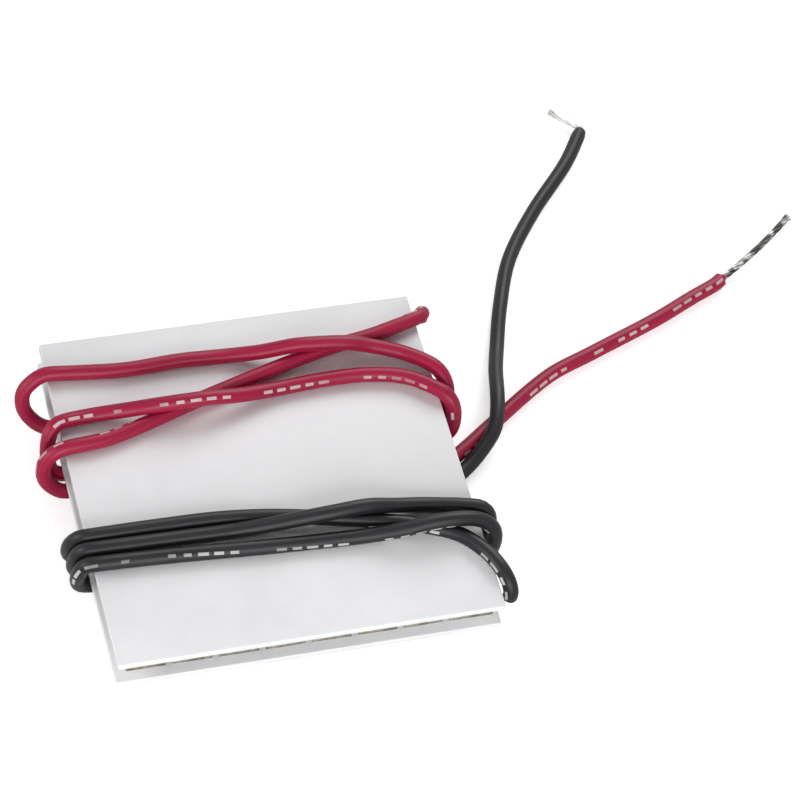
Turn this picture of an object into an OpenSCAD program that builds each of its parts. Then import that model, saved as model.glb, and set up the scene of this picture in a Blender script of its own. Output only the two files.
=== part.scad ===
// Thermoelectric cooling module: two square ceramic plates with a series chain of
// semiconductor pellets soldered between copper tabs, and two stranded leads wound
// around the plates. +Z points out of the cold face, and the origin is the module's centre.

/* [Plates] */
// Side of each square ceramic plate
plate_side = 40; // [34:0.5:60]
// Thickness of each ceramic plate
plate_t = 0.8; // [0.5:0.05:1.5]
// Leg of the tiny bevel where a plate is snapped from its sheet
plate_chip = 0.15; // [0.05:0.05:0.6]

/* [Pellets and tabs] */
// Number of rows, and of places in a row: an even number
rows = 16; // [8:2:16]
// From the plate's edge to the centre of the outer pellets
array_margin = 2; // [1.4:0.1:3]
// Side of a square pellet
pellet_w = 1.4; // [0.8:0.05:1.5]
// Height of a pellet
pellet_h = 1.6; // [0.8:0.1:3]
// How far a copper tab reaches past its pellets on each side
tab_rim = 0.15; // [0.05:0.01:0.2]
// Thickness of a copper tab
tab_t = 0.4; // [0.2:0.05:0.6]

/* [Terminals] */
// From a terminal pad's outer end to the plate's edge
pad_setback = 0.6; // [0.3:0.05:1]
// Width of a solder bead
solder_w = 1.5; // [1:0.05:1.7]
// Length of a solder bead
solder_l = 2.6; // [1.8:0.05:2.7]
// From a bead's outer end to its pad's outer end
solder_setback = 0.2; // [0:0.05:0.3]

/* [Leads] */
// Diameter over a lead's insulation
lead_d = 1.6; // [1.2:0.05:1.8]
// Diameter of the stranded conductor
conductor_d = 0.76; // [0.5:0.02:0.9]
// From the plate's edge to the middle of a lead where it turns up
root_reach = 1.2; // [1:0.05:1.8]
// Radius of the conductor's bend at its root
root_bend = 0.8; // [0.5:0.05:0.9]
// Bare length at the red lead's free end
red_tail_l = 12.4; // [3:0.2:15]
// Bare straight length at the black lead's free end
black_tail_l = 3.7; // [2:0.1:10]
// How far the black lead's bare strands are bent aside
black_tail_turn = 88; // [30:1:120]
// Radius of that bend
black_tail_bend = 0.55; // [0.5:0.05:1]
// Length over which the bare strands make one turn
strand_lay = 9; // [6:0.5:15]

/* [Hidden] */
$fn = 48;
// Strands laid round the middle one
outer_strands = 6;
strand_d = conductor_d / 3;
// Slices of a twisted tail for each turn of its strands
lay_slices = 14;
strand_sides = 8;
lead_sides = 8;

// Heights, counted from the middle of the stack
gap_h = pellet_h + 2 * tab_t;
stack_h = gap_h + 2 * plate_t;
face_z = stack_h / 2;
hot_tab_z = -gap_h / 2;
pellet_z = hot_tab_z + tab_t;
cold_tab_z = pellet_z + pellet_h;
cold_plate_z = cold_tab_z + tab_t;

// The square array of pellet places
edge = plate_side / 2;
pitch = (plate_side - 2 * array_margin) / (rows - 1);
tab_w = pellet_w + 2 * tab_rim;
terminal_y = edge - array_margin;

// A terminal pad starts under the last pellet of an end row and ends near the plate's edge
pad_start_x = terminal_y - pitch - tab_w / 2;
pad_end_x = edge - pad_setback;
solder_x = pad_end_x - solder_setback - solder_l / 2;

// The conductor lies on its pad, passes the plate's edge and turns up into the insulation
root_z = pellet_z + conductor_d / 2;
root_start_x = solder_x - solder_l / 2 + solder_w / 4;
root_x = edge + root_reach;
root_top_z = root_z + root_bend;

// The lead routes are drawn for these sizes, and fit() moves their points when a size changes
drawn_edge = 20;
drawn_face_z = 2;
drawn_lead_d = 1.6;

// A lead rises straight for this height above its root
root_rise = 0.8;

// From the root over the plates three times, and out from under them to the free end
red_points = [
    [20.95, 17.2, 2.3], [20.1, 16.4, 2.85],
    [15, 15, 2.8], [10, 14.1, 2.8], [5, 12.8, 2.8], [-5, 9.8, 2.8], [-15, 6.6, 2.8],
    [-20.1, 6, 2.85], [-21.3, 5.9, 2.3], [-22.2, 5.7, 1],
    [-22.2, 5.3, -1], [-21.2, 4.9, -2.4], [-20, 4.6, -2.85],
    [-10, 5, -2.8], [0, 5.7, -2.8], [10, 6.4, -2.8],
    [20.1, 7, -2.85], [20.95, 7.2, -2.4], [21.4, 7.5, -1.1],
    [21.4, 8, 1.1], [20.95, 9, 2.4], [20, 10.2, 2.85],
    [17.2, 12.2, 2.9], [14, 13.2, 3.4], [11.5, 13.4, 4.2], [9, 13.6, 4.4], [6, 13.9, 4.3],
    [2.5, 14.3, 3.4], [-1, 14.8, 2.8], [-6, 15, 2.8], [-12, 14.8, 2.8], [-17.5, 15.3, 2.8],
    [-20.2, 15.5, 2.85], [-21.5, 15.3, 2.3], [-22.6, 14.9, 1],
    [-22.6, 14.2, -0.9], [-21.5, 13.4, -2.4], [-20.2, 12.8, -2.85],
    [-10, 10.4, -3.6], [0, 8.5, -4.2], [8, 6.9, -4.4], [13, 5.9, -4.4], [17, 5.1, -3.5],
    [20.1, 4.7, -2.85], [20.95, 4.7, -2.4], [21.4, 4.7, -1.1],
    [21.4, 5.1, 1.1], [20.95, 5.8, 2.4], [20, 6.8, 2.85],
    [17, 9, 2.8], [13, 10, 2.8], [8, 10.1, 2.8], [3, 9.7, 2.9], [-1, 9, 3.7],
    [-4.5, 8.7, 4.4], [-9, 8.7, 4.4], [-13, 9.3, 3.4], [-17, 9.6, 2.8],
    [-20.1, 9.2, 2.85], [-20.95, 8.7, 2.4], [-21.4, 8, 1.1],
    [-21.4, 7.3, -1.1], [-20.95, 7, -2.4], [-20, 6.8, -2.85],
    [-14, 6.4, -3.8], [-9, 5.6, -4.4], [3, 3.6, -4.4], [10, 2.2, -4.4], [16, 1.2, -4.4],
    [19.6, 1.8, -4.4], [22.6, 3.5, -4.4], [26.5, 6.2, -4.4], [34.5, 11.5, -4.4],
    [40, 13.7, -4.4], [48.5, 17, -4.4], [53.5, 19.3, -4.4], [56.5, 20.6, -4.4],
    [57.7, 21.4, -4.4]
];
black_points = [
    [20.95, -17.3, 2.3], [20.4, -15.8, 2.85],
    [19.4, -13.6, 2.8], [17.4, -11.3, 2.8], [14, -9.6, 2.8], [10, -8.3, 2.8],
    [0, -6, 2.8], [-6, -5.2, 2.8], [-12, -5, 2.8],
    [-20.1, -5, 2.85], [-20.95, -4.8, 2.4], [-21.6, -4.5, 1.1],
    [-21.6, -4, -1.1], [-20.95, -3.7, -2.4], [-20, -3.6, -2.85],
    [-8, -5, -2.8], [8, -7, -2.8],
    [20.1, -8.5, -2.85], [20.95, -8.6, -2.4], [21.4, -8.8, -1.1],
    [21.4, -8.9, 1.1], [20.95, -8.7, 2.4], [20.1, -8.3, 2.85],
    [15, -7.2, 2.9], [11.5, -7.1, 3.5], [8.5, -7.2, 4.3], [5, -7.4, 4.4],
    [1.5, -7.4, 4.1], [-2, -7.2, 3.5], [-6, -6.9, 2.9], [-12, -6.7, 2.8],
    [-20.1, -6.6, 2.85], [-20.95, -6.4, 2.4], [-21.4, -6.2, 1.1],
    [-21.4, -5.7, -1.1], [-20.95, -5.4, -2.4], [-20, -5.3, -2.85],
    [-8, -6.8, -2.8], [8, -9, -2.8],
    [20.1, -10.7, -2.85], [20.95, -10.9, -2.4], [21.4, -11, -1.1],
    [21.4, -11.1, 1.1], [20.95, -10.9, 2.7], [19.6, -10.5, 3.8],
    [17.4, -10.4, 4.4], [14.5, -10.4, 4.4], [11.5, -10.4, 3.9], [8, -9.9, 3],
    [3, -9.6, 2.8], [-3, -9.3, 2.8], [-9, -8.9, 2.8], [-14, -8.6, 2.8],
    [-20.1, -8.4, 2.85], [-20.95, -8.2, 2.4], [-21.4, -8, 1.1],
    [-21.4, -7.5, -1.1], [-20.95, -7.2, -2.4], [-19.9, -7.1, -2.9],
    [-16.5, -7.1, -3.6], [-13.5, -6.8, -4.4], [-8, -5.8, -4.4], [0, -4.4, -4.4],
    [8, -3, -4.4], [15, -1.9, -4.4], [19.5, -0.6, -4.4], [22.8, 1.5, -4.3],
    [25.2, 3.5, -3.6], [26.5, 5, -3], [27.3, 7.1, -2.7], [27.9, 9.3, -2.8],
    [28.8, 12.7, -3.6], [30, 16.2, -4.4], [31.8, 21.4, -4.4], [34.6, 27.7, -4.4],
    [39.1, 33.8, -4.4], [44.7, 40, -4.4], [47.8, 44.4, -4.4]
];

// Row numbers with two digits, as the nodes' names have them
function two(i) = i < 10 ? str("0", i) : str(i);
row_names = [for (r = [1:rows]) two(r)];

// Centre of a row or column, both counted from 1
function place(i) = (i - (rows + 1) / 2) * pitch;

// The first and last rows end at a terminal pad, so their last place holds no pellet
function is_end_row(r) = r == 1 || r == rows;

function unit(v) = v / norm(v);
function last(list) = list[len(list) - 1];

// Inside the plate a drawn length stretches with it, and beyond its edge it stays as drawn
function fit_side(v) = abs(v) < drawn_edge
    ? v * edge / drawn_edge
    : sign(v) * (edge + abs(v) - drawn_edge);

// Between the faces a drawn height stretches with the stack, and beyond them with the lead
function fit_height(z) = abs(z) < drawn_face_z
    ? z * face_z / drawn_face_z
    : sign(z) * (face_z + (abs(z) - drawn_face_z) * lead_d / drawn_lead_d);
function fit(p) = [fit_side(p.x), fit_side(p.y), fit_height(p.z)];

// A lead's whole route, from the top of its root
function lead_route(y, points) = concat(
    [[root_x, y, root_top_z], [root_x, y, root_top_z + root_rise]],
    [for (p = points) fit(p)]
);
red_route = lead_route(terminal_y, red_points);
black_route = lead_route(-terminal_y, black_points);

// Directions along a route, at its points
function tangents(p) = [
    for (i = [0:len(p) - 1]) unit(p[min(i + 1, len(p) - 1)] - p[max(i - 1, 0)])
];

// A side direction carried along a route without twisting
function normals(t) = [
    for (i = 0, n = [1, 0, 0]; i < len(t);
         i = i + 1, n = i < len(t) ? unit(n - (n * t[i]) * t[i]) : n) n
];
function ring(p, t, n, d) = [
    for (k = [0:lead_sides - 1])
        let (a = 360 * k / lead_sides)
            p + d / 2 * (cos(a) * n + sin(a) * cross(t, n))
];

// A closed tube with one ring of corners at each point of its route
module tube(route, d) {
    t = tangents(route);
    n = normals(t);
    s = lead_sides;
    top = (len(route) - 1) * s;
    corners = [for (i = [0:len(route) - 1]) each ring(route[i], t[i], n[i], d)];
    walls = [
        for (i = [0:len(route) - 2], k = [0:s - 1])
            let (a = i * s + k, b = i * s + (k + 1) % s)
                each [[a, a + s, b + s], [a, b + s, b]]
    ];
    caps = [[for (k = [0:s - 1]) k], [for (k = [s - 1:-1:0]) top + k]];
    polyhedron(points = corners, faces = concat(walls, caps));
}

// A ceramic plate with its underside at height z
module ceramic(z) {
    translate([0, 0, z])
        linear_extrude(plate_t)
            intersection() {
                square(plate_side, center = true);
                rotate(45) square((plate_side - plate_chip) * sqrt(2), center = true);
            }
}

// A copper tab from one place [column, row] to another, with its underside at height z
module tab(from, to, z) {
    a = [place(from.x), place(from.y)];
    b = [place(to.x), place(to.y)];
    size = [abs(b.x - a.x) + tab_w, abs(b.y - a.y) + tab_w, tab_t];
    translate([(a.x + b.x) / 2, (a.y + b.y) / 2, z + tab_t / 2])
        cube(size, center = true);
}

module cold_ceramic() {
    color("whitesmoke") ceramic(cold_plate_z);
}

module hot_ceramic() {
    color("whitesmoke") ceramic(-face_z);
}

// The pellets of one row
module pellet_row(r) {
    places = is_end_row(r) ? rows - 1 : rows;
    color("dimgray")
        for (c = [1:places])
            translate([place(c), place(r), pellet_z + pellet_h / 2])
                cube([pellet_w, pellet_w, pellet_h], center = true);
}

// The tabs on the hot plate join places 1 and 2, 3 and 4, and so on
module hot_tabs_row(r) {
    ends = is_end_row(r) ? rows - 2 : rows;
    color("darkkhaki")
        for (c = [2:2:ends])
            tab([c - 1, r], [c, r], hot_tab_z);
}

// The tabs on the cold plate join places 2 and 3, 4 and 5, and so on, and at the end of
// the row a turning tab carries the chain over to the next row
module cold_tabs_row(r) {
    turn = r % 2 == 1 ? 1 : rows;
    color("darkkhaki") {
        for (c = [2:2:rows - 2])
            tab([c, r], [c + 1, r], cold_tab_z);
        if (r < rows)
            tab([turn, r], [turn, r + 1], cold_tab_z);
    }
}

module terminal_pad(y) {
    translate([pad_start_x, y - tab_w / 2, hot_tab_z])
        cube([pad_end_x - pad_start_x, tab_w, tab_t]);
}

// The bare end of a lead, lying on its pad and turned up at the plate's edge
module conductor_root(y) {
    bend_x = root_x - root_bend;
    translate([root_start_x, y, root_z])
        rotate([0, 90, 0])
            cylinder(h = bend_x - root_start_x, d = conductor_d);
    translate([bend_x, y, root_top_z])
        rotate([90, 0, 0])
            rotate(-90)
                rotate_extrude(angle = 90)
                    translate([root_bend, 0]) circle(d = conductor_d);
}

// A round-ended bead of solder on its pad, with the channel that the conductor fills
module solder_joint(y) {
    straight = solder_l - solder_w;
    difference() {
        translate([solder_x, y, pellet_z])
            rotate([0, 90, 0])
                rotate_extrude()
                    intersection() {
                        union() {
                            square([solder_w, straight], center = true);
                            for (end = [-1, 1])
                                translate([0, end * straight / 2]) circle(d = solder_w);
                        }
                        translate([0, -solder_l]) square([solder_w, 2 * solder_l]);
                    }
        translate([pad_start_x, y - tab_w, pellet_z - solder_w])
            cube([plate_side, 2 * tab_w, solder_w]);
        translate([root_start_x, y, root_z])
            rotate([90, 0, 90])
                linear_extrude(plate_side) {
                    circle(d = conductor_d);
                    translate([-conductor_d / 2, -conductor_d])
                        square(conductor_d);
                }
    }
}

// Bare strands twisted together, along +Z from the origin
module strands(l) {
    turns = l / strand_lay;
    $fn = strand_sides;
    linear_extrude(height = l, twist = -360 * turns, slices = ceil(turns * lay_slices)) {
        circle(r = strand_d);
        for (k = [1:outer_strands])
            rotate(360 * k / outer_strands)
                translate([strand_d, 0]) circle(d = strand_d);
    }
}

// Puts what starts at the origin along +X on the end of a route
module at_free_end(route) {
    tip = last(route);
    way = tip - route[len(route) - 2];
    translate(tip) rotate(atan2(way.y, way.x)) children();
}

module red_terminal_pad() {
    color("darkkhaki") terminal_pad(terminal_y);
}

module black_terminal_pad() {
    color("darkkhaki") terminal_pad(-terminal_y);
}

module red_solder_joint() {
    color("silver") solder_joint(terminal_y);
}

module black_solder_joint() {
    color("silver") solder_joint(-terminal_y);
}

// The bare root, and the straight bare tail at the free end
module red_conductor() {
    color("silver") {
        conductor_root(terminal_y);
        at_free_end(red_route) rotate([0, 90, 0]) strands(red_tail_l);
    }
}

// The bare root, and the bare tail that is bent aside at the free end
module black_conductor() {
    color("silver") {
        conductor_root(-terminal_y);
        at_free_end(black_route)
            translate([0, black_tail_bend, 0]) {
                rotate(-90)
                    rotate_extrude(angle = black_tail_turn)
                        translate([black_tail_bend, 0]) circle(d = conductor_d);
                rotate(black_tail_turn)
                    translate([0, -black_tail_bend, 0])
                        rotate([0, 90, 0]) strands(black_tail_l);
            }
    }
}

module red_lead() {
    color("crimson") tube(red_route, lead_d);
}

module black_lead() {
    color([0.13, 0.13, 0.14]) tube(black_route, lead_d);
}

cold_ceramic();
hot_ceramic();
for (r = [1:rows]) {
    pellet_row(r);
    hot_tabs_row(r);
    cold_tabs_row(r);
}
red_terminal_pad();
black_terminal_pad();
red_solder_joint();
black_solder_joint();
red_conductor();
black_conductor();
red_lead();
black_lead();
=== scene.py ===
"""Dresses the thermoelectric cooling module: fired ceramic plates, tinned copper tabs,
solder, and two stranded leads wound over and under the plates."""

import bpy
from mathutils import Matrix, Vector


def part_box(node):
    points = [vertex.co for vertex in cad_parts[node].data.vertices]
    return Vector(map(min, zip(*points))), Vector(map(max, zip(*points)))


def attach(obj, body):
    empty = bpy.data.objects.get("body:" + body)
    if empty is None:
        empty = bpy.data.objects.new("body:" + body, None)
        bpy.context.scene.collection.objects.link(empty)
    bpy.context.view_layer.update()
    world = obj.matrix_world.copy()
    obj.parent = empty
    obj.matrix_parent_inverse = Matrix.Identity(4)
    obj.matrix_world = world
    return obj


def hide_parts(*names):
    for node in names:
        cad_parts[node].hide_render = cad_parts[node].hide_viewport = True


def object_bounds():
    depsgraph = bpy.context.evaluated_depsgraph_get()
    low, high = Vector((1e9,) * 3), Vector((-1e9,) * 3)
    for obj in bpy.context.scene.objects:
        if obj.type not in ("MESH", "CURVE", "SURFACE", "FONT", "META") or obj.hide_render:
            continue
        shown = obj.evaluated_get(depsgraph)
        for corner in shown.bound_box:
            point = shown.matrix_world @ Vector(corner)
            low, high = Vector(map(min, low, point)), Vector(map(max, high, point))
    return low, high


bl_info = {
    "name": "Thermoelectric cooling module",
    "version": (1, 0, 0),
    "blender": (4, 5, 0),
    "location": "View3D > Sidebar > Module",
    "description": "Surfaces, leads and studio for a thermoelectric cooling module",
    "category": "Object",
}

import math

import bmesh
import bpy
from mathutils import Matrix, Vector

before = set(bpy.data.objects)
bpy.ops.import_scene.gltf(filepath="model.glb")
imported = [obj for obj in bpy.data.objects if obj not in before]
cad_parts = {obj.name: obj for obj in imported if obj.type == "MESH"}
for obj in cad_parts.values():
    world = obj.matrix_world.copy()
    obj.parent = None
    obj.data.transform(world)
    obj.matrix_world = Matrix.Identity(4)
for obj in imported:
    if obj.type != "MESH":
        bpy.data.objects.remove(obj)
CAD_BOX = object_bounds()

MM = 0.001
ROWS = 16
PLATE_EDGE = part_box("cold_ceramic")[1].x
PAD_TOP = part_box("red_terminal_pad")[1].z
TERMINAL_Y = (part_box("red_terminal_pad")[0].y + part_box("red_terminal_pad")[1].y) / 2
# The leads' smooth skins reach a little lower than their solids
TABLE_Z = CAD_BOX[0].z - 0.1 * MM

# The conductor's root: it starts inside its solder, lies on its pad, turns up beyond the
# plate's edge and ends inside the insulation
ROOT_IN_SOLDER = 0.4 * MM
ROOT_LIFT = 0.38 * MM
ROOT_REACH = 1.2 * MM
ROOT_BEND = 0.8 * MM
ROOT_RISE = 0.8 * MM
ROOT_TUCK = 0.5 * MM
ROOT_PARTS = 12
BEND_PARTS = 8

# Length of the bare conductor at each free end, how far the red one bows and its
# insulation is torn back, and how the black one is bent aside
RED_TAIL = 12.4 * MM
RED_TAIL_PARTS = 60
RED_BOW = 0.3 * MM
RED_TORN = 0.7 * MM
BLACK_TAIL = 3.7 * MM
BLACK_TAIL_PARTS = 20
BLACK_TAIL_TURN = math.radians(88)
BLACK_TAIL_BEND = 0.55 * MM
BLACK_TORN = 0

# How far the strands open out at each free end, as a share of their own thickness, and
# the length over which they do
RED_SPLAY = 0.6
BLACK_SPLAY = 0.2
SPLAY_LENGTH = 2.2 * MM
STRAND_SIDES = 8

# The insulation is open this deep at each end, with this gap round the conductor
MOUTH_DEPTH = 0.6 * MM
MOUTH_GAP = 0.03 * MM

# Edges less sharp than this look smooth; faces of a solid closer to flat than this are
# one face, and its corners closer than this are one corner
SMOOTH_ANGLE = math.radians(40)
FLAT_ANGLE = math.radians(1)
SAME_CORNER = 0.0001 * MM

# The dashes on a lead stand in cells. Each group of cells starts with its printed share,
# and a cell that draws a number below the last one here has lost its dash
DASH_GROUP = 7
DASH_SHARE = 0.6
DASH_LOST = 0.12

# Where each soft lamp stands and how wide it is, in metres
LAMPS = {
    "key": ((0.2, 0.3, 0.3), 0.28),
    "left": ((-0.42, 0.02, 0.2), 0.3),
    "front": ((-0.05, -0.44, 0.16), 0.4),
}

# The table's size, how white it looks by itself near the module, and the distances
# between which it turns quite white
TABLE_SIZE = 8
TABLE_GLOW = 0.55
TABLE_GLOW_GROWS = (0.08, 0.3)

# Each lead's route over and under the plates and out to its free end, in millimetres
RED_POINTS = (
    (20.95, 17.2, 2.3), (20.1, 16.4, 2.85),
    (15, 15, 2.8), (10, 14.1, 2.8), (5, 12.8, 2.8), (-5, 9.8, 2.8), (-15, 6.6, 2.8),
    (-20.1, 6, 2.85), (-21.3, 5.9, 2.3), (-22.2, 5.7, 1),
    (-22.2, 5.3, -1), (-21.2, 4.9, -2.4), (-20, 4.6, -2.85),
    (-10, 5, -2.8), (0, 5.7, -2.8), (10, 6.4, -2.8),
    (20.1, 7, -2.85), (20.95, 7.2, -2.4), (21.4, 7.5, -1.1),
    (21.4, 8, 1.1), (20.95, 9, 2.4), (20, 10.2, 2.85),
    (17.2, 12.2, 2.9), (14, 13.2, 3.4), (11.5, 13.4, 4.2), (9, 13.6, 4.4), (6, 13.9, 4.3),
    (2.5, 14.3, 3.4), (-1, 14.8, 2.8), (-6, 15, 2.8), (-12, 14.8, 2.8), (-17.5, 15.3, 2.8),
    (-20.2, 15.5, 2.85), (-21.5, 15.3, 2.3), (-22.6, 14.9, 1),
    (-22.6, 14.2, -0.9), (-21.5, 13.4, -2.4), (-20.2, 12.8, -2.85),
    (-10, 10.4, -3.6), (0, 8.5, -4.2), (8, 6.9, -4.4), (13, 5.9, -4.4), (17, 5.1, -3.5),
    (20.1, 4.7, -2.85), (20.95, 4.7, -2.4), (21.4, 4.7, -1.1),
    (21.4, 5.1, 1.1), (20.95, 5.8, 2.4), (20, 6.8, 2.85),
    (17, 9, 2.8), (13, 10, 2.8), (8, 10.1, 2.8), (3, 9.7, 2.9), (-1, 9, 3.7),
    (-4.5, 8.7, 4.4), (-9, 8.7, 4.4), (-13, 9.3, 3.4), (-17, 9.6, 2.8),
    (-20.1, 9.2, 2.85), (-20.95, 8.7, 2.4), (-21.4, 8, 1.1),
    (-21.4, 7.3, -1.1), (-20.95, 7, -2.4), (-20, 6.8, -2.85),
    (-14, 6.4, -3.8), (-9, 5.6, -4.4), (3, 3.6, -4.4), (10, 2.2, -4.4), (16, 1.2, -4.4),
    (19.6, 1.8, -4.4), (22.6, 3.5, -4.4), (26.5, 6.2, -4.4), (34.5, 11.5, -4.4),
    (40, 13.7, -4.4), (48.5, 17, -4.4), (53.5, 19.3, -4.4), (56.5, 20.6, -4.4),
    (57.7, 21.4, -4.4),
)
BLACK_POINTS = (
    (20.95, -17.3, 2.3), (20.4, -15.8, 2.85),
    (19.4, -13.6, 2.8), (17.4, -11.3, 2.8), (14, -9.6, 2.8), (10, -8.3, 2.8),
    (0, -6, 2.8), (-6, -5.2, 2.8), (-12, -5, 2.8),
    (-20.1, -5, 2.85), (-20.95, -4.8, 2.4), (-21.6, -4.5, 1.1),
    (-21.6, -4, -1.1), (-20.95, -3.7, -2.4), (-20, -3.6, -2.85),
    (-8, -5, -2.8), (8, -7, -2.8),
    (20.1, -8.5, -2.85), (20.95, -8.6, -2.4), (21.4, -8.8, -1.1),
    (21.4, -8.9, 1.1), (20.95, -8.7, 2.4), (20.1, -8.3, 2.85),
    (15, -7.2, 2.9), (11.5, -7.1, 3.5), (8.5, -7.2, 4.3), (5, -7.4, 4.4),
    (1.5, -7.4, 4.1), (-2, -7.2, 3.5), (-6, -6.9, 2.9), (-12, -6.7, 2.8),
    (-20.1, -6.6, 2.85), (-20.95, -6.4, 2.4), (-21.4, -6.2, 1.1),
    (-21.4, -5.7, -1.1), (-20.95, -5.4, -2.4), (-20, -5.3, -2.85),
    (-8, -6.8, -2.8), (8, -9, -2.8),
    (20.1, -10.7, -2.85), (20.95, -10.9, -2.4), (21.4, -11, -1.1),
    (21.4, -11.1, 1.1), (20.95, -10.9, 2.7), (19.6, -10.5, 3.8),
    (17.4, -10.4, 4.4), (14.5, -10.4, 4.4), (11.5, -10.4, 3.9), (8, -9.9, 3),
    (3, -9.6, 2.8), (-3, -9.3, 2.8), (-9, -8.9, 2.8), (-14, -8.6, 2.8),
    (-20.1, -8.4, 2.85), (-20.95, -8.2, 2.4), (-21.4, -8, 1.1),
    (-21.4, -7.5, -1.1), (-20.95, -7.2, -2.4), (-19.9, -7.1, -2.9),
    (-16.5, -7.1, -3.6), (-13.5, -6.8, -4.4), (-8, -5.8, -4.4), (0, -4.4, -4.4),
    (8, -3, -4.4), (15, -1.9, -4.4), (19.5, -0.6, -4.4), (22.8, 1.5, -4.3),
    (25.2, 3.5, -3.6), (26.5, 5, -3), (27.3, 7.1, -2.7), (27.9, 9.3, -2.8),
    (28.8, 12.7, -3.6), (30, 16.2, -4.4), (31.8, 21.4, -4.4), (34.6, 27.7, -4.4),
    (39.1, 33.8, -4.4), (44.7, 40, -4.4), (47.8, 44.4, -4.4),
)

# How far each lead's printed line is turned from the upper front side, in degrees, at
# distances along the lead in millimetres
RED_TWIST = ((0, 170), (20, 150), (40, 60), (70, 90), (95, 180), (135, 180), (160, 90),
             (180, 15), (220, -15), (250, 60), (280, 40), (334, 0))
BLACK_TWIST = ((0, -40), (14, -40), (40, 180), (130, 180), (165, 90), (190, 10), (232, 0),
               (255, 90), (285, 180), (343, 180))
PRINT_SIDE = Vector((-0.1, -0.55, 0.83))


def lead_line(y, points):
    """The drawn points of a lead in metres, from the top of its root."""
    root = Vector((PLATE_EDGE + ROOT_REACH, y, PAD_TOP + ROOT_LIFT + ROOT_BEND))
    return [root, root + Vector((0, 0, ROOT_RISE))] + [Vector(p) * MM for p in points]


def smooth_line(points, step):
    """A smooth curve through the points, with a point about every step."""
    count = len(points)
    chords = [(points[i + 1] - points[i]).length for i in range(count - 1)]
    slopes = [(points[1] - points[0]) / chords[0]]
    for i in range(1, count - 1):
        slopes.append((points[i + 1] - points[i - 1]) / (chords[i] + chords[i - 1]))
    slopes.append((points[-1] - points[-2]) / chords[-1])
    line = []
    for i, chord in enumerate(chords):
        parts = max(2, round(chord / step))
        for k in range(parts):
            t = k / parts
            line.append(
                (2 * t**3 - 3 * t**2 + 1) * points[i]
                + (t**3 - 2 * t**2 + t) * chord * slopes[i]
                + (3 * t**2 - 2 * t**3) * points[i + 1]
                + (t**3 - t**2) * chord * slopes[i + 1]
            )
    return line + [points[-1]]


def carry_frames(line):
    """(tangent, normal, binormal) at each point, carried along without twisting."""
    frames = []
    normal = Vector((1, 0, 0))
    last = len(line) - 1
    for i in range(len(line)):
        tangent = (line[min(i + 1, last)] - line[max(i - 1, 0)]).normalized()
        if abs(normal.dot(tangent)) > 0.99:
            normal = Vector((0, 1, 0))
        normal = (normal - normal.dot(tangent) * tangent).normalized()
        frames.append((tangent, normal, tangent.cross(normal)))
    return frames


def distances(line):
    """How far along the line each of its points is."""
    run = [0.0]
    for a, b in zip(line, line[1:]):
        run.append(run[-1] + (b - a).length)
    return run


def between_keys(keys, x):
    """The value at x on straight stretches between (place, value) keys."""
    for (x0, v0), (x1, v1) in zip(keys, keys[1:]):
        if x <= x1:
            return v0 + (v1 - v0) * (x - x0) / (x1 - x0)
    return keys[-1][1]


def print_turns(line, frames, twist):
    """The angle round the lead at which its printed line lies, at each point."""
    run = distances(line)
    keys = []
    for place, turn in twist:
        i = min(range(len(run)), key=lambda k: abs(run[k] - place * MM))
        _, normal, binormal = frames[i]
        angle = math.atan2(PRINT_SIDE.dot(binormal), PRINT_SIDE.dot(normal))
        angle += math.radians(turn)
        if keys:
            turns = round((keys[-1][1] - angle) / math.tau)
            angle += turns * math.tau
        keys.append((place * MM, angle))
    return [between_keys(keys, s) for s in run]


def add_ring(bm, centre, tangent_frame, radius, sides):
    """A ring of corners square to the line."""
    _, normal, binormal = tangent_frame
    ring = []
    for k in range(sides):
        a = math.tau * k / sides
        ring.append(bm.verts.new(
            centre + radius * (math.cos(a) * normal + math.sin(a) * binormal)))
    return ring


def bridge(bm, ring_a, ring_b):
    """A band of faces between two rings."""
    count = len(ring_a)
    faces = []
    for k in range(count):
        j = (k + 1) % count
        faces.append(bm.faces.new((ring_a[k], ring_a[j], ring_b[j], ring_b[k])))
    return faces


def new_object(name, bm):
    """Makes a mesh object of the bmesh, with its faces outwards and smooth."""
    bmesh.ops.recalc_face_normals(bm, faces=bm.faces)
    mesh = bpy.data.meshes.new(name)
    bm.to_mesh(mesh)
    bm.free()
    made = bpy.data.objects.new(name, mesh)
    bpy.context.scene.collection.objects.link(made)
    select_only(made)
    bpy.ops.object.shade_smooth_by_angle(angle=SMOOTH_ANGLE)
    return made


def select_only(made):
    """Selects one object and makes it active."""
    if bpy.context.mode != "OBJECT":
        bpy.ops.object.mode_set(mode="OBJECT")
    bpy.ops.object.select_all(action="DESELECT")
    made.select_set(True)
    bpy.context.view_layer.objects.active = made


# ---------------------------------------------------------------- materials


def linear(hex_colour):
    """The linear RGBA of an sRGB hex colour."""
    parts = [int(hex_colour[i:i + 2], 16) / 255 for i in (1, 3, 5)]
    return tuple(
        c / 12.92 if c <= 0.04045 else ((c + 0.055) / 1.055) ** 2.4 for c in parts
    ) + (1.0,)


def per_size(size_mm):
    """The texture scale that gives features of this size."""
    return 1 / (size_mm * MM)


def add_node(tree, kind, inputs=None, **settings):
    """Adds a node, sets it up, and fills its inputs with values or links."""
    made = tree.nodes.new(kind)
    for name, value in settings.items():
        setattr(made, name, value)
    for name, value in (inputs or {}).items():
        if isinstance(value, bpy.types.NodeSocket):
            tree.links.new(value, made.inputs[name])
        else:
            made.inputs[name].default_value = value
    return made


def start_material(name, **surface):
    """A material with a Principled shader that has these constants."""
    mat = bpy.data.materials.new(name)
    mat.use_nodes = True
    tree = mat.node_tree
    shader = tree.nodes["Principled BSDF"]
    for socket, value in surface.items():
        shader.inputs[socket.replace("_", " ")].default_value = value
    return mat, tree, shader


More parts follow.
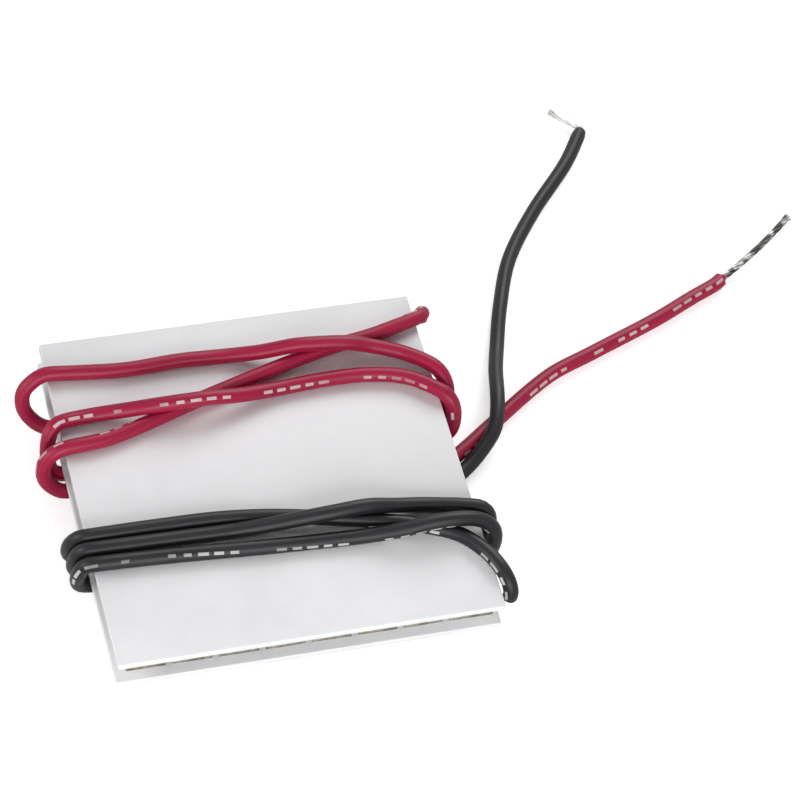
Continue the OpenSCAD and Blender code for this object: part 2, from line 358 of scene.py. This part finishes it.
def two_colours(tree, share, first, second, start=0.0, end=1.0):
    """A colour that goes from the first to the second as share goes from start to end."""
    ramp = add_node(tree, "ShaderNodeValToRGB", {"Fac": share})
    for element, place, colour in zip(ramp.color_ramp.elements, (start, end), (first, second)):
        element.position = place
        element.color = colour
    return ramp.outputs["Color"]


def set_colour(tree, shader, colour):
    """Gives the surface this varying colour."""
    tree.links.new(colour, shader.inputs["Base Color"])


def set_gloss(tree, shader, share, low, high, start=0.0, end=1.0):
    """Roughness that goes from low to high as share goes from start to end."""
    gloss = add_node(tree, "ShaderNodeMapRange", {
        "Value": share, "From Min": start, "From Max": end, "To Min": low, "To Max": high})
    tree.links.new(gloss.outputs["Result"], shader.inputs["Roughness"])


def set_relief(tree, shader, height, strength, depth):
    """Bumps of this depth in metres, where height is high."""
    relief = add_node(tree, "ShaderNodeBump", {
        "Height": height, "Strength": strength, "Distance": depth})
    tree.links.new(relief.outputs["Normal"], shader.inputs["Normal"])


def fired_alumina():
    """96% alumina, tape-cast, fired and snapped: bright white and satin, with faint
    clouds, a fine grain, and a few grey specks left by the kiln."""
    mat, tree, shader = start_material("Fired alumina", IOR=1.6)
    place = add_node(tree, "ShaderNodeTexCoord").outputs["Object"]
    clouds = add_node(tree, "ShaderNodeTexNoise", {
        "Vector": place, "Scale": per_size(7), "Detail": 4, "Roughness": 0.55})
    body = two_colours(tree, clouds.outputs["Fac"], linear("#EBEBED"), linear("#F4F4F6"),
                       0.3, 0.7)
    specks = add_node(tree, "ShaderNodeTexVoronoi", {
        "Vector": place, "Scale": per_size(1.6), "Randomness": 1.0})
    dots = add_node(tree, "ShaderNodeMapRange", {
        "Value": specks.outputs["Distance"], "From Min": 0.03, "From Max": 0.06,
        "To Min": 0.35, "To Max": 0.0})
    tint = add_node(tree, "ShaderNodeMix", {
        "Factor": dots.outputs["Result"], "A": body, "B": linear("#C9C6C0")},
        data_type="RGBA")
    set_colour(tree, shader, tint.outputs["Result"])
    set_gloss(tree, shader, clouds.outputs["Fac"], 0.42, 0.56, 0.3, 0.7)
    grain = add_node(tree, "ShaderNodeTexNoise", {
        "Vector": place, "Scale": per_size(0.12), "Detail": 2})
    set_relief(tree, shader, grain.outputs["Fac"], 0.25, 0.01 * MM)
    return mat


def tinned_copper_with_painted_shade():
    """Rolled copper with a dull tin coat and a little flux: grey with an olive tinge, and darker
    all over than bright tin, which is painted shade for the shade that falls on the tabs between
    the plates.
    """
    mat, tree, shader = start_material("Tinned copper", Metallic=1.0)
    place = add_node(tree, "ShaderNodeTexCoord").outputs["Object"]
    patches = add_node(tree, "ShaderNodeTexNoise", {
        "Vector": place, "Scale": per_size(0.8), "Detail": 3}).outputs["Fac"]
    # Both colours are darkened as painted shade, for the shade between the plates
    set_colour(tree, shader, two_colours(tree, patches, linear("#77735F"), linear("#A3A194"),
                                         0.35, 0.6))
    set_gloss(tree, shader, patches, 0.38, 0.6)
    set_relief(tree, shader, patches, 0.5, 0.03 * MM)
    return mat


def sawn_telluride():
    """Bismuth telluride, sawn from an ingot: dark grey, with dull cleaved grains."""
    mat, tree, shader = start_material("Sawn bismuth telluride", Metallic=0.8)
    place = add_node(tree, "ShaderNodeTexCoord").outputs["Object"]
    grains = add_node(tree, "ShaderNodeTexVoronoi", {
        "Vector": place, "Scale": per_size(0.35), "Randomness": 1.0})
    set_colour(tree, shader, two_colours(tree, grains.outputs["Color"], linear("#5A5A5C"),
                                         linear("#88888A")))
    set_gloss(tree, shader, grains.outputs["Distance"], 0.4, 0.6)
    set_relief(tree, shader, grains.outputs["Distance"], 0.4, 0.03 * MM)
    return mat


def set_solder():
    """Tin solder that has set: silver, with a soft frosted skin."""
    mat, tree, shader = start_material("Set solder", Metallic=1.0)
    place = add_node(tree, "ShaderNodeTexCoord").outputs["Object"]
    frost = add_node(tree, "ShaderNodeTexNoise", {
        "Vector": place, "Scale": per_size(0.25), "Detail": 4}).outputs["Fac"]
    set_colour(tree, shader, two_colours(tree, frost, linear("#B4B4B2"), linear("#DCDCDA")))
    set_gloss(tree, shader, frost, 0.22, 0.45)
    set_relief(tree, shader, frost, 0.3, 0.02 * MM)
    return mat


def drawn_tinned_wire(name, dull, bright):
    """Fine copper wire, hot-tinned: bright where the tin is sound, and greyer in long patches
    where it has gone dull. With the dark pair of colours that the red lead gets, the strong
    contrast of the patches also paints the light and dark reflections of the twisted strands."""
    mat, tree, shader = start_material(name, Metallic=1.0)
    place = add_node(tree, "ShaderNodeTexCoord").outputs["Object"]
    patches = add_node(tree, "ShaderNodeTexNoise", {
        "Vector": place, "Scale": per_size(1.6), "Detail": 3}).outputs["Fac"]
    set_colour(tree, shader, two_colours(tree, patches, linear(dull), linear(bright),
                                         0.42, 0.6))
    set_gloss(tree, shader, patches, 0.5, 0.25)
    return mat


def extruded_pvc(name, dark, light, leads):
    """Extruded PVC insulation: satin, with faint streaks along the run and a line of
    plain white dashes printed on one side, which has faded in places."""
    mat, tree, shader = start_material(name, IOR=1.53, Specular_IOR_Level=0.27)
    run = add_node(tree, "ShaderNodeUVMap", uv_map="run").outputs["UV"]
    split = add_node(tree, "ShaderNodeSeparateXYZ", {"Vector": run})
    along, around = split.outputs["X"], split.outputs["Y"]

    def math_node(operation, a, b=0.0):
        return add_node(tree, "ShaderNodeMath", {0: a, 1: b}, operation=operation).outputs[0]

    # Streaks: 20 round the lead, which makes them about 0.25 mm wide, and 12 mm long
    stretched = add_node(tree, "ShaderNodeCombineXYZ", {
        "X": math_node("MULTIPLY", along, 1 / 12), "Y": math_node("MULTIPLY", around, 20)})
    streaks = add_node(tree, "ShaderNodeTexNoise", {
        "Vector": stretched.outputs["Vector"], "Scale": 1.0, "Detail": 3}).outputs["Fac"]
    body = two_colours(tree, streaks, dark, light, 0.3, 0.7)

    # Dashes: short and long ones in cells along the lead, in groups with gaps between
    cell = math_node("DIVIDE", along, leads.dash_pitch / MM)
    in_cell = math_node("ABSOLUTE", math_node("SUBTRACT", math_node("FRACT", cell), 0.5))
    cell_id = math_node("FLOOR", cell)
    dice = add_node(tree, "ShaderNodeTexWhiteNoise", {"W": cell_id},
                    noise_dimensions="1D").outputs["Value"]
    half_length = add_node(tree, "ShaderNodeMapRange", {
        "Value": dice, "To Min": 0.22, "To Max": 0.4}).outputs["Result"]
    dash = math_node("LESS_THAN", in_cell, half_length)
    off_line = math_node("ABSOLUTE", math_node("SUBTRACT", around, 0.5))
    half_height = leads.dash_height / (math.pi * leads.diameter) / 2
    tall = math_node("LESS_THAN", off_line, half_height)
    in_group = math_node("FRACT", math_node("DIVIDE", cell_id, DASH_GROUP))
    printed = math_node("LESS_THAN", in_group, DASH_SHARE)
    kept = math_node("MULTIPLY", printed, math_node("GREATER_THAN", dice, DASH_LOST))
    fading = add_node(tree, "ShaderNodeTexNoise", {
        "Vector": add_node(tree, "ShaderNodeTexCoord").outputs["Object"],
        "Scale": per_size(6), "Detail": 0})
    worn = add_node(tree, "ShaderNodeMapRange", {
        "Value": fading.outputs["Fac"], "From Min": 0.3, "From Max": 0.65,
        "To Min": 0.25, "To Max": 0.7})
    ink = math_node("MULTIPLY", math_node("MULTIPLY", dash, tall),
                    math_node("MULTIPLY", kept, worn.outputs["Result"]))
    skin = add_node(tree, "ShaderNodeMix", {
        "Factor": ink, "A": body, "B": linear("#E4DEDC")}, data_type="RGBA")
    set_colour(tree, shader, skin.outputs["Result"])
    set_gloss(tree, shader, streaks, 0.3, 0.44, 0.3, 0.7)
    set_relief(tree, shader, streaks, 0.35, 0.03 * MM)
    return mat


def give_material(made, mat):
    """Puts one material on every face of an object."""
    made.data.materials.clear()
    made.data.materials.append(mat)


# ---------------------------------------------------------------- pieces


def trim_end(rings, frames, torn):
    """Rounds off a lead's last rings, or tears the edge unevenly where torn is a length."""
    tangent = frames[-1][0]
    for k, corner in enumerate(rings[-1]):
        a = math.tau * k / len(rings[-1])
        wave = 0.5 + 0.3 * math.sin(2 * a + 1) + 0.2 * math.sin(5 * a + 4)
        corner.co -= tangent * torn * wave
    if not torn:
        for back, scale in ((1, 0.8), (2, 0.95)):
            ring = rings[-back]
            middle = sum((c.co for c in ring), Vector()) / len(ring)
            for corner in ring:
                corner.co = middle + (corner.co - middle) * scale


def make_lead(name, line, twist, torn, leads):
    """A lead's insulation as one closed tube, open a little way round the conductor at
    each end, with a map of the run in millimetres along and turns around."""
    frames = carry_frames(line)
    turns = print_turns(line, frames, twist)
    run = distances(line)
    radius = leads.diameter / 2
    bore = leads.conductor_diameter / 2 + MOUTH_GAP
    sides = leads.sides
    bm = bmesh.new()
    uv = bm.loops.layers.uv.new("run")
    rings = [add_ring(bm, p, f, radius, sides) for p, f in zip(line, frames)]
    for i in range(len(rings) - 1):
        for k, face in enumerate(bridge(bm, rings[i], rings[i + 1])):
            for loop, (j, m) in zip(face.loops, ((i, k), (i, k + 1), (i + 1, k + 1), (i + 1, k))):
                turn = m / sides - turns[j] / math.tau
                loop[uv].uv = (run[j] / MM, turn + 0.5)
            shift = math.floor(min(loop[uv].uv.y for loop in face.loops) + 0.5 / sides)
            for loop in face.loops:
                loop[uv].uv.y -= shift
    trim_end(rings, frames, torn)
    for i, step in ((0, 1), (-1, -1)):
        tangent = frames[i][0] * step
        mouth = add_ring(bm, line[i], frames[i], bore, sides)
        if i:
            for outer, corner in zip(rings[i], mouth):
                corner.co += tangent * (line[i] - outer.co).dot(frames[i][0])
        inner = add_ring(bm, line[i] + tangent * MOUTH_DEPTH, frames[i], bore, sides)
        bridge(bm, rings[i], mouth)
        bridge(bm, mouth, inner)
        bm.faces.new(inner)
    return new_object(name, bm)


def strand_lines(line, leads, splay=0.0):
    """Seven strands twisted round a line: one in the middle and six round it. Over the
    last stretch they open out by splay, each by its own share."""
    frames = carry_frames(line)
    run = distances(line)
    strand = leads.conductor_diameter / 3
    lines = [list(line)]
    for k in range(6):
        laid = []
        for i, point in enumerate(line):
            _, normal, binormal = frames[i]
            a = math.tau * (k / 6 + run[i] / leads.strand_lay)
            near_end = max(0.0, 1 - (run[-1] - run[i]) / SPLAY_LENGTH)
            own_share = 0.4 + 0.6 * ((k * 5) % 6) / 5
            out = strand * (1 + splay * near_end**2 * own_share)
            laid.append(point + out * (math.cos(a) * normal + math.sin(a) * binormal))
        lines.append(laid)
    return lines


def make_strands(name, bundles, leads):
    """Bundles of twisted strands as one mesh of closed round wires."""
    bm = bmesh.new()
    radius = leads.conductor_diameter / 6
    for lines in bundles:
        for line in lines:
            frames = carry_frames(line)
            rings = [add_ring(bm, p, f, radius, STRAND_SIDES) for p, f in zip(line, frames)]
            for a, b in zip(rings, rings[1:]):
                bridge(bm, a, b)
            bm.faces.new(rings[0])
            bm.faces.new(rings[-1])
    return new_object(name, bm)


def arc(centre, start, axis, angle, parts):
    """Points on an arc about an axis, from centre + start."""
    return [centre + Matrix.Rotation(angle * k / parts, 3, axis) @ start
            for k in range(parts + 1)]


def root_line(y):
    """The bare root of a conductor, from its end in the solder up to the insulation."""
    z = PAD_TOP + ROOT_LIFT
    bend_x = PLATE_EDGE + ROOT_REACH - ROOT_BEND
    start_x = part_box("red_solder_joint")[0].x + ROOT_IN_SOLDER
    lying = [Vector((start_x + (bend_x - start_x) * k / ROOT_PARTS, y, z))
             for k in range(ROOT_PARTS)]
    turned = arc(Vector((bend_x, y, z + ROOT_BEND)), Vector((0, 0, -ROOT_BEND)),
                 Vector((0, 1, 0)), -math.pi / 2, BEND_PARTS)
    tip = turned[-1] + Vector((0, 0, ROOT_TUCK))
    return lying + turned + [tip]


def red_tail_line(lead):
    """The bare end of the red conductor, bowed a little to the right."""
    way = (lead[-1] - lead[-2]).normalized()
    side = Vector((way.y, -way.x, 0))
    start = lead[-1] - MOUTH_DEPTH * way
    length = RED_TAIL + MOUTH_DEPTH
    return [start + way * length * k / RED_TAIL_PARTS
            + side * RED_BOW * math.sin(math.pi * k / RED_TAIL_PARTS)
            for k in range(RED_TAIL_PARTS + 1)]


def black_tail_line(lead):
    """The bare end of the black conductor, bent aside where it leaves the insulation."""
    way = (lead[-1] - lead[-2]).normalized()
    side = Vector((-way.y, way.x, 0))
    start = lead[-1]
    bent = arc(start + side * BLACK_TAIL_BEND, -side * BLACK_TAIL_BEND,
               Vector((0, 0, 1)), BLACK_TAIL_TURN, BEND_PARTS)
    on = (bent[-1] - bent[-2]).normalized()
    straight = [bent[-1] + on * BLACK_TAIL * k / BLACK_TAIL_PARTS
                for k in range(1, BLACK_TAIL_PARTS + 1)]
    return [start - ROOT_TUCK * way] + bent + straight


def dress_node(name, width, mat):
    """A copy of a CAD node with its thin edges broken, which stands for the node."""
    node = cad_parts[name]
    made = bpy.data.objects.new(name + "_dressed", node.data.copy())
    bpy.context.scene.collection.objects.link(made)
    select_only(made)
    bpy.ops.object.mode_set(mode="EDIT")
    bpy.ops.mesh.select_all(action="SELECT")
    bpy.ops.mesh.remove_doubles(threshold=SAME_CORNER)
    bpy.ops.mesh.dissolve_limited(angle_limit=FLAT_ANGLE)
    bpy.ops.object.mode_set(mode="OBJECT")
    bevel = made.modifiers.new("Broken edges", "BEVEL")
    bevel.width = width
    bevel.segments = 2
    bevel.limit_method = "ANGLE"
    bpy.ops.object.modifier_apply(modifier=bevel.name)
    bpy.ops.object.shade_smooth_by_angle(angle=SMOOTH_ANGLE)
    give_material(made, mat)
    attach(made, "root")
    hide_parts(name)
    return made


# ---------------------------------------------------------------- settings


class LeadSettings(bpy.types.PropertyGroup):
    """Sizes and colours of the two leads."""
    diameter: bpy.props.FloatProperty(
        name="Lead diameter", description="Diameter over the insulation",
        default=1.6 * MM, min=0.0008, max=0.004, precision=5, unit="LENGTH")
    conductor_diameter: bpy.props.FloatProperty(
        name="Conductor diameter", description="Diameter of the stranded conductor",
        default=0.76 * MM, min=0.0003, max=0.002, precision=5, unit="LENGTH")
    strand_lay: bpy.props.FloatProperty(
        name="Strand lay", description="Length over which the strands make one turn",
        default=7 * MM, min=0.003, max=0.03, precision=4, unit="LENGTH")
    ring_step: bpy.props.FloatProperty(
        name="Ring step", description="Length between the rings of a lead's mesh",
        default=0.5 * MM, min=0.0002, max=0.003, precision=5, unit="LENGTH")
    sides: bpy.props.IntProperty(
        name="Sides", description="Sides of a lead's mesh", default=24, min=8, max=64)
    dash_pitch: bpy.props.FloatProperty(
        name="Dash pitch", description="Length of a printed dash and the gap after it",
        default=1.6 * MM, min=0.0003, max=0.004, precision=5, unit="LENGTH")
    dash_height: bpy.props.FloatProperty(
        name="Dash height", description="Height of a printed dash round the lead",
        default=0.34 * MM, min=0.0001, max=0.002, precision=5, unit="LENGTH")
    red: bpy.props.FloatVectorProperty(
        name="Red", description="Colour of the red lead's insulation",
        default=linear("#AE1642"), size=4, min=0, max=1, subtype="COLOR")
    red_dark: bpy.props.FloatVectorProperty(
        name="Dark red", description="Colour of the red insulation's streaks",
        default=linear("#8C0E34"), size=4, min=0, max=1, subtype="COLOR")
    black: bpy.props.FloatVectorProperty(
        name="Black", description="Colour of the black lead's insulation",
        default=linear("#222024"), size=4, min=0, max=1, subtype="COLOR")
    black_dark: bpy.props.FloatVectorProperty(
        name="Dark black", description="Colour of the black insulation's streaks",
        default=linear("#161518"), size=4, min=0, max=1, subtype="COLOR")


class StackSettings(bpy.types.PropertyGroup):
    """Broken edges of the plates, pellets and tabs."""
    plate_edge: bpy.props.FloatProperty(
        name="Plate edge", description="Width of a plate's broken edge",
        default=0.05 * MM, min=0.00001, max=0.0003, precision=6, unit="LENGTH")
    pellet_edge: bpy.props.FloatProperty(
        name="Pellet edge", description="Width of a pellet's broken edge",
        default=0.03 * MM, min=0.00001, max=0.0002, precision=6, unit="LENGTH")
    tab_edge: bpy.props.FloatProperty(
        name="Tab edge", description="Width of a tab's rounded edge",
        default=0.06 * MM, min=0.00001, max=0.00015, precision=6, unit="LENGTH")


class StudioSettings(bpy.types.PropertyGroup):
    """Camera and lights."""
    lens: bpy.props.FloatProperty(
        name="Lens", description="Focal length of the camera in millimetres",
        default=167.1, min=20, max=400)
    camera_place: bpy.props.FloatVectorProperty(
        name="Camera place", description="Where the camera stands",
        default=(-0.078861, -0.206391, 0.313164), subtype="TRANSLATION", unit="LENGTH")
    azimuth: bpy.props.FloatProperty(
        name="Azimuth", description="Turn of the view about the upright axis",
        default=math.radians(23.95), subtype="ANGLE")
    elevation: bpy.props.FloatProperty(
        name="Elevation", description="How steeply the camera looks down",
        default=math.radians(53.148), subtype="ANGLE")
    roll: bpy.props.FloatProperty(
        name="Roll", description="Roll of the camera about its own view",
        default=math.radians(11.582), subtype="ANGLE")
    key_power: bpy.props.FloatProperty(
        name="Key light", description="Power of the high light behind the module",
        default=1.1, min=0, max=10, unit="POWER")
    left_power: bpy.props.FloatProperty(
        name="Left light", description="Power of the low light on the left",
        default=0.9, min=0, max=10, unit="POWER")
    front_power: bpy.props.FloatProperty(
        name="Front light", description="Power of the low light in front",
        default=2.0, min=0, max=10, unit="POWER")
    ambient: bpy.props.FloatProperty(
        name="Ambient", description="Strength of the even light from all round",
        default=0.14, min=0, max=2)


# ---------------------------------------------------------------- operators


class ADD_OT_studio(bpy.types.Operator):
    """Adds the camera, the white table and the soft lights"""
    bl_idname = "module.add_studio"
    bl_label = "Camera, table and lights"

    def execute(self, context):
        studio = context.scene.module_studio
        self.add_camera(context.scene, studio)
        self.add_table()
        for name, (place, size) in LAMPS.items():
            power = getattr(studio, name + "_power")
            self.add_light(context.scene, name, place, size, power)
        self.set_world(context.scene, studio)
        context.scene.view_settings.view_transform = "Standard"
        return {"FINISHED"}

    def add_camera(self, scene, studio):
        """A long lens that looks down on the module from its left front corner."""
        az, el = studio.azimuth, studio.elevation
        ahead = Vector((math.sin(az) * math.cos(el), math.cos(az) * math.cos(el), -math.sin(el)))
        level = Vector((math.cos(az), -math.sin(az), 0))
        upward = level.cross(ahead)
        right = level * math.cos(studio.roll) + upward * math.sin(studio.roll)
        up = upward * math.cos(studio.roll) - level * math.sin(studio.roll)
        camera = bpy.data.objects.new("camera", bpy.data.cameras.new("camera"))
        camera.data.lens = studio.lens
        camera.data.sensor_width = 36
        camera.data.clip_start = 0.01
        camera.data.clip_end = 20
        turn = Matrix((right, up, -ahead)).transposed().to_4x4()
        camera.matrix_world = Matrix.Translation(studio.camera_place) @ turn
        scene.collection.objects.link(camera)
        scene.camera = camera

    def add_table(self):
        """A pale table that looks white and keeps a faint shadow."""
        bpy.ops.mesh.primitive_plane_add(size=TABLE_SIZE, location=(0, 0, TABLE_Z))
        table = bpy.context.active_object
        table.name = "table"
        mat, tree, shader = start_material(
            "White card", Base_Color=linear("#F6F6F6"), Roughness=0.9, Specular_IOR_Level=0.1)
        path = add_node(tree, "ShaderNodeLightPath")
        glow = add_node(tree, "ShaderNodeEmission", {"Color": (1, 1, 1, 1)})
        away = add_node(tree, "ShaderNodeVectorMath", {
            0: add_node(tree, "ShaderNodeTexCoord").outputs["Object"]}, operation="LENGTH")
        lift = add_node(tree, "ShaderNodeMapRange", {
            "Value": away.outputs["Value"], "From Min": TABLE_GLOW_GROWS[0],
            "From Max": TABLE_GLOW_GROWS[1], "To Min": TABLE_GLOW, "To Max": 1.0})
        seen = add_node(tree, "ShaderNodeMath", {
            0: path.outputs["Is Camera Ray"], 1: lift.outputs["Result"]},
            operation="MULTIPLY")
        tree.links.new(seen.outputs[0], glow.inputs["Strength"])
        both = add_node(tree, "ShaderNodeAddShader", {
            0: shader.outputs[0], 1: glow.outputs[0]})
        tree.links.new(both.outputs[0], tree.nodes["Material Output"].inputs["Surface"])
        give_material(table, mat)

    def add_light(self, scene, name, place, size, power):
        """A soft square light that faces the module."""
        data = bpy.data.lights.new(name, "AREA")
        data.energy = power
        data.shape = "SQUARE"
        data.size = size
        light = bpy.data.objects.new(name, data)
        light.location = place
        light.rotation_euler = (-Vector(place)).to_track_quat("-Z", "Y").to_euler()
        scene.collection.objects.link(light)

    def set_world(self, scene, studio):
        """Even ambient light, which the camera and reflections see as white."""
        world = bpy.data.worlds.new("studio")
        world.use_nodes = True
        scene.world = world
        tree = world.node_tree
        path = add_node(tree, "ShaderNodeLightPath")
        seen = add_node(tree, "ShaderNodeMath", {
            0: path.outputs["Is Camera Ray"], 1: path.outputs["Is Glossy Ray"]},
            operation="MAXIMUM")
        shown = add_node(tree, "ShaderNodeMath", {
            0: seen.outputs[0], 1: path.outputs["Is Transmission Ray"]}, operation="MAXIMUM")
        strength = add_node(tree, "ShaderNodeMapRange", {
            "Value": shown.outputs[0], "To Min": studio.ambient, "To Max": 1.0})
        background = tree.nodes["Background"]
        background.inputs["Color"].default_value = (1, 1, 1, 1)
        tree.links.new(strength.outputs["Result"], background.inputs["Strength"])


class ADD_OT_leads(bpy.types.Operator):
    """Adds both leads: insulation, and the bare strands at both ends"""
    bl_idname = "module.add_leads"
    bl_label = "Leads"

    def execute(self, context):
        leads = context.scene.module_leads
        # The red strands' dark and light patches are partly dull tin and partly painted
        # reflections of the twisted strands
        dull_tin_and_painted_glints = drawn_tinned_wire("Dulled tinned wire", "#4A4A47", "#C4C6C2")
        fresh = drawn_tinned_wire("Fresh tinned wire", "#A6A7A4", "#E9EAE7")
        red = extruded_pvc("Extruded red PVC", tuple(leads.red_dark), tuple(leads.red), leads)
        black = extruded_pvc("Extruded black PVC", tuple(leads.black_dark),
                             tuple(leads.black), leads)
        self.add_lead("red", TERMINAL_Y, RED_POINTS, RED_TWIST, red_tail_line, RED_SPLAY,
                      RED_TORN, red, dull_tin_and_painted_glints, leads)
        self.add_lead("black", -TERMINAL_Y, BLACK_POINTS, BLACK_TWIST, black_tail_line,
                      BLACK_SPLAY, BLACK_TORN, black, fresh, leads)
        return {"FINISHED"}

    def add_lead(self, colour, y, points, twist, tail_line, splay, torn, pvc, wire, leads):
        """One lead with its bare strands."""
        line = smooth_line(lead_line(y, points), leads.ring_step)
        lead = make_lead(colour + "_insulation", line, twist, torn, leads)
        give_material(lead, pvc)
        tail = strand_lines(tail_line(line), leads, splay)
        root = strand_lines(root_line(y), leads)
        strands = make_strands(colour + "_strands", [root, tail], leads)
        give_material(strands, wire)
        for piece, slot in ((lead, colour + "_pvc"), (strands, "tinned_strands")):
            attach(piece, "root")
        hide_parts(colour + "_lead")
        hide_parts(colour + "_conductor")


class ADD_OT_plates(bpy.types.Operator):
    """Dresses the two ceramic plates"""
    bl_idname = "module.add_plates"
    bl_label = "Ceramic plates"

    def execute(self, context):
        ceramic = fired_alumina()
        for name in ("cold_ceramic", "hot_ceramic"):
            made = dress_node(name, context.scene.module_stack.plate_edge, ceramic)
        return {"FINISHED"}


class ADD_OT_pellets(bpy.types.Operator):
    """Dresses the rows of pellets"""
    bl_idname = "module.add_pellets"
    bl_label = "Pellets"

    def execute(self, context):
        telluride = sawn_telluride()
        for row in range(1, ROWS + 1):
            made = dress_node(f"pellet_row_{row:02d}", context.scene.module_stack.pellet_edge,
                              telluride)
        return {"FINISHED"}


class ADD_OT_tabs(bpy.types.Operator):
    """Dresses the copper tabs and the two terminal pads"""
    bl_idname = "module.add_tabs"
    bl_label = "Copper tabs and pads"

    def execute(self, context):
        copper = tinned_copper_with_painted_shade()
        names = [f"{side}_tabs_row_{row:02d}" for side in ("hot", "cold")
                 for row in range(1, ROWS + 1)]
        for name in names + ["red_terminal_pad", "black_terminal_pad"]:
            made = dress_node(name, context.scene.module_stack.tab_edge, copper)
        return {"FINISHED"}


class ADD_OT_solder(bpy.types.Operator):
    """Gives the two solder beads their finish"""
    bl_idname = "module.add_solder"
    bl_label = "Solder beads"

    def execute(self, context):
        solder = set_solder()
        for name in ("red_solder_joint", "black_solder_joint"):
            give_material(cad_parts[name], solder)
        return {"FINISHED"}


class VIEW3D_PT_module(bpy.types.Panel):
    """Lists the steps that build the dressed module, and their settings"""
    bl_idname = "VIEW3D_PT_module"
    bl_label = "Cooling module"
    bl_space_type = "VIEW_3D"
    bl_region_type = "UI"
    bl_category = "Module"

    def draw(self, context):
        layout = self.layout
        for operator in OPERATORS:
            layout.operator(operator.bl_idname)
        for name, group in SETTINGS.items():
            box = layout.box()
            for prop in group.__annotations__:
                box.prop(getattr(context.scene, name), prop)


SETTINGS = {
    "module_leads": LeadSettings,
    "module_stack": StackSettings,
    "module_studio": StudioSettings,
}
OPERATORS = (ADD_OT_studio, ADD_OT_leads, ADD_OT_plates, ADD_OT_pellets, ADD_OT_tabs,
             ADD_OT_solder)
CLASSES = (*SETTINGS.values(), *OPERATORS, VIEW3D_PT_module)


def register():
    for cls in CLASSES:
        bpy.utils.register_class(cls)
    for name, group in SETTINGS.items():
        setattr(bpy.types.Scene, name, bpy.props.PointerProperty(type=group))


def unregister():
    for name in SETTINGS:
        delattr(bpy.types.Scene, name)
    for cls in reversed(CLASSES):
        bpy.utils.unregister_class(cls)


def main():
    register()
    bpy.ops.module.add_studio()
    bpy.ops.module.add_leads()
    bpy.ops.module.add_plates()
    bpy.ops.module.add_pellets()
    bpy.ops.module.add_tabs()
    bpy.ops.module.add_solder()


if __name__ == "__main__":
    main()
